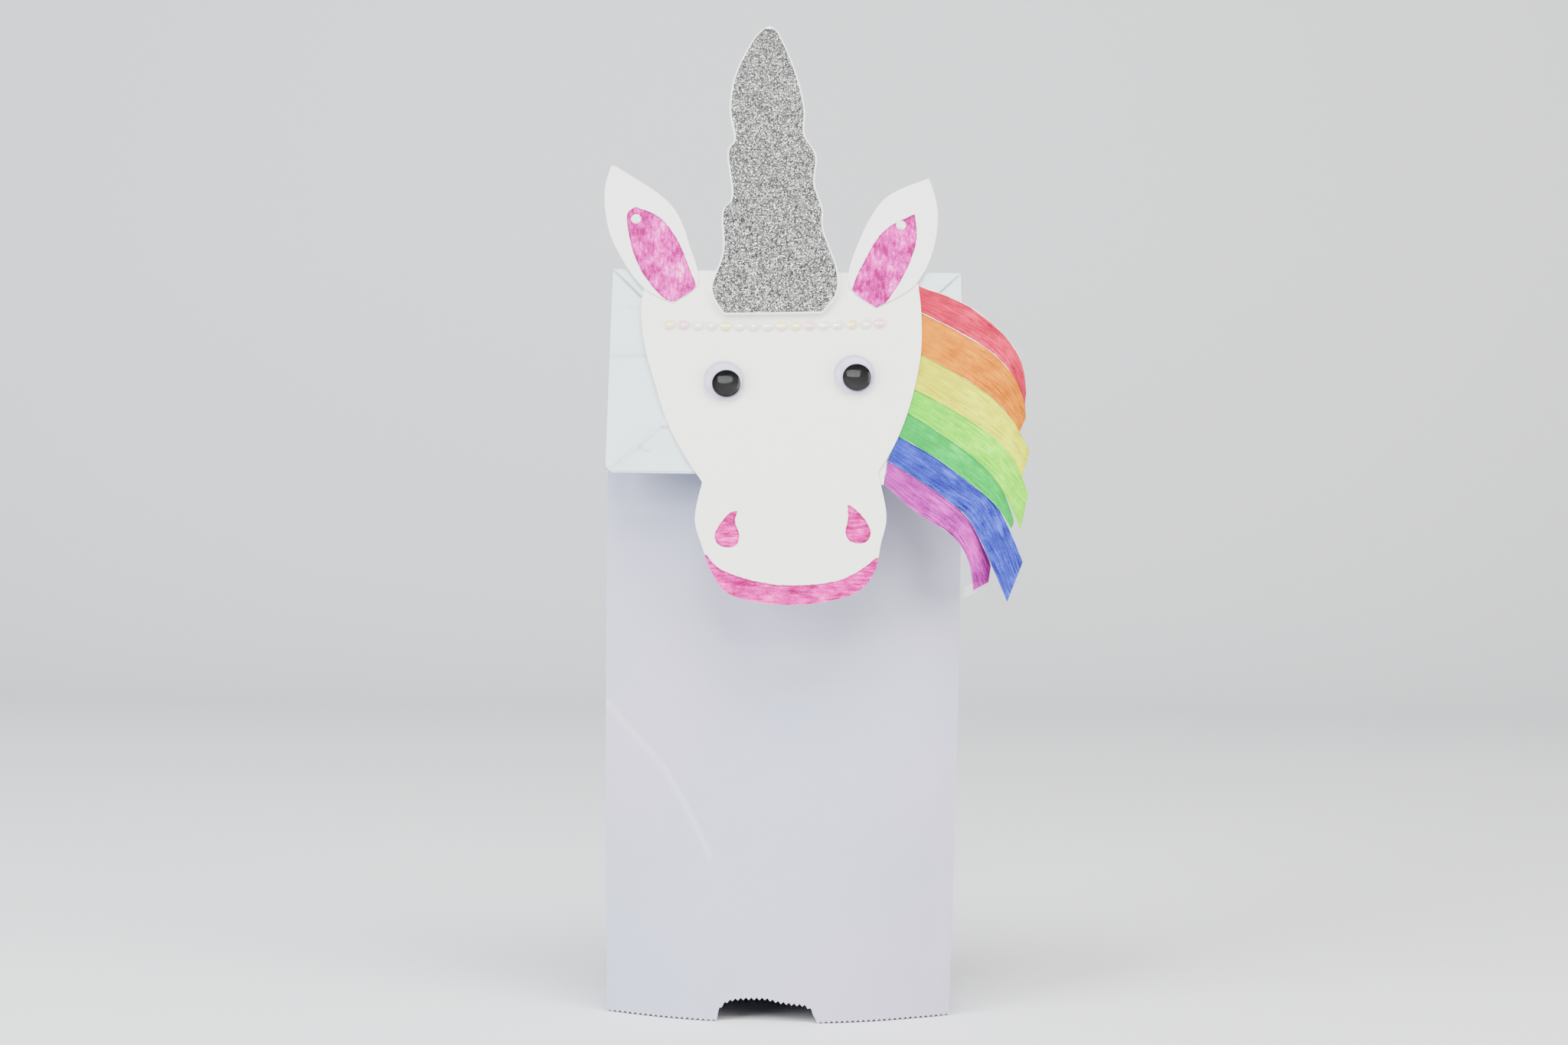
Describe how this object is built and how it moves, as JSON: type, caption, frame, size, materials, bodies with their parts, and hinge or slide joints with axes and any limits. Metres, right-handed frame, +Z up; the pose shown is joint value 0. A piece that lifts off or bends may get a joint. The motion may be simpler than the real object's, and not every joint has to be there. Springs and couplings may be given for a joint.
{
  "type": "paper bag puppet",
  "caption": "Paper bag hand puppet: an upturned lunch bag whose folded base is a hinged mouth flap carrying a card unicorn head, foam horn, ears, paper mane and loose-pupil eyes.",
  "frame": {"origin": "on the table under the middle of the puppet's outline, mane and ears included", "axes": "+Z up, +X towards the mane, and the face looks along -Y"},
  "size_m": [0.1577, 0.071, 0.3671],
  "materials": {
    "bag_paper": "matte uncoated",
    "flap_paper": "matte uncoated",
    "white_card": "matte uncoated card",
    "ear_card": "matte card with pink pencil inside",
    "glue": "dried glue",
    "white_foam": "matte craft foam",
    "silver_glitter": "coarse glitter",
    "clear_stone": "faceted",
    "white_stone": "faceted",
    "yellow_stone": "faceted",
    "pink_stone": "faceted",
    "eye_white": "smooth",
    "pupil_black": "gloss",
    "clear_dome": "clear plastic",
    "pencil_red": "coloured pencil on paper",
    "pencil_orange": "coloured pencil on paper",
    "pencil_yellow": "coloured pencil on paper",
    "pencil_lime": "coloured pencil on paper",
    "pencil_green": "coloured pencil on paper",
    "pencil_blue": "coloured pencil on paper",
    "pencil_purple": "coloured pencil on paper"
  },
  "bodies": {
    "bag": {"back_panel": "bag_paper", "back_seam_lap": "bag_paper", "left_gusset_front_leaf": "bag_paper", "left_gusset_back_leaf": "bag_paper", "right_gusset_front_leaf": "bag_paper", "right_gusset_back_leaf": "bag_paper"},
    "front_panel": {"front_panel": "bag_paper"},
    "flap": {"base_flap": "flap_paper", "upper_base_lap": "flap_paper", "lower_base_lap": "flap_paper", "head_glue": "glue", "head_card": "white_card", "mane_root": "white_card", "horn_foam_core": "white_foam", "horn_glitter_face": "silver_glitter", "left_ear": "ear_card", "right_ear": "ear_card", "left_ear_stone": "clear_stone", "right_ear_stone": "clear_stone", "left_eye_backing": "eye_white", "right_eye_backing": "eye_white", "left_eye_dome": "clear_dome", "right_eye_dome": "clear_dome", "mane_lock_red": "pencil_red", "mane_lock_orange": "pencil_orange", "mane_lock_yellow": "pencil_yellow", "mane_lock_lime": "pencil_lime", "mane_lock_green": "pencil_green", "mane_lock_blue": "pencil_blue", "mane_lock_purple": "pencil_purple", "brow_stone_1": "yellow_stone", "brow_stone_2": "pink_stone", "brow_stone_3": "white_stone", "brow_stone_4": "white_stone", "brow_stone_5": "yellow_stone", "brow_stone_6": "white_stone", "brow_stone_7": "white_stone", "brow_stone_8": "white_stone", "brow_stone_9": "yellow_stone", "brow_stone_10": "yellow_stone", "brow_stone_11": "pink_stone", "brow_stone_12": "white_stone", "brow_stone_13": "white_stone", "brow_stone_14": "yellow_stone", "brow_stone_15": "white_stone", "brow_stone_16": "pink_stone"},
    "mouth_strip": {"mouth_strip": "bag_paper"},
    "left_pupil": {"left_pupil": "pupil_black"},
    "right_pupil": {"right_pupil": "pupil_black"}
  },
  "joints": [
    {"name": "flap_hinge", "type": "hinge", "parent": "bag", "child": "flap", "pos_m": [-0.0102, 0.006, 0.27], "axis": [-1, 0, 0], "range_deg": [0, 45]},
    {"name": "strip_fold", "type": "hinge", "parent": "flap", "child": "mouth_strip", "pos_m": [-0.0102, -0.01872, 0.19392], "axis": [-1, 0, 0], "range_deg": [0, 22.5]},
    {"name": "front_swing", "type": "hinge", "parent": "bag", "child": "front_panel", "pos_m": [-0.0102, -0.035, 0], "axis": [1, 0, 0], "range_deg": [0, 5.85]},
    {"name": "left_pupil_roll", "type": "hinge", "parent": "flap", "child": "left_pupil", "pos_m": [-0.0327, -0.00994, 0.22839], "axis": [0, -0.9511, 0.309], "continuous": true},
    {"name": "right_pupil_roll", "type": "hinge", "parent": "flap", "child": "right_pupil", "pos_m": [0.0148, -0.00901, 0.23124], "axis": [0, -0.9511, 0.309], "continuous": true}
  ],
  "couplings": [
    {"joint": "strip_fold", "follows": "flap_hinge", "ratio": 0.5},
    {"joint": "front_swing", "follows": "flap_hinge", "ratio": 0.13}
  ]
}
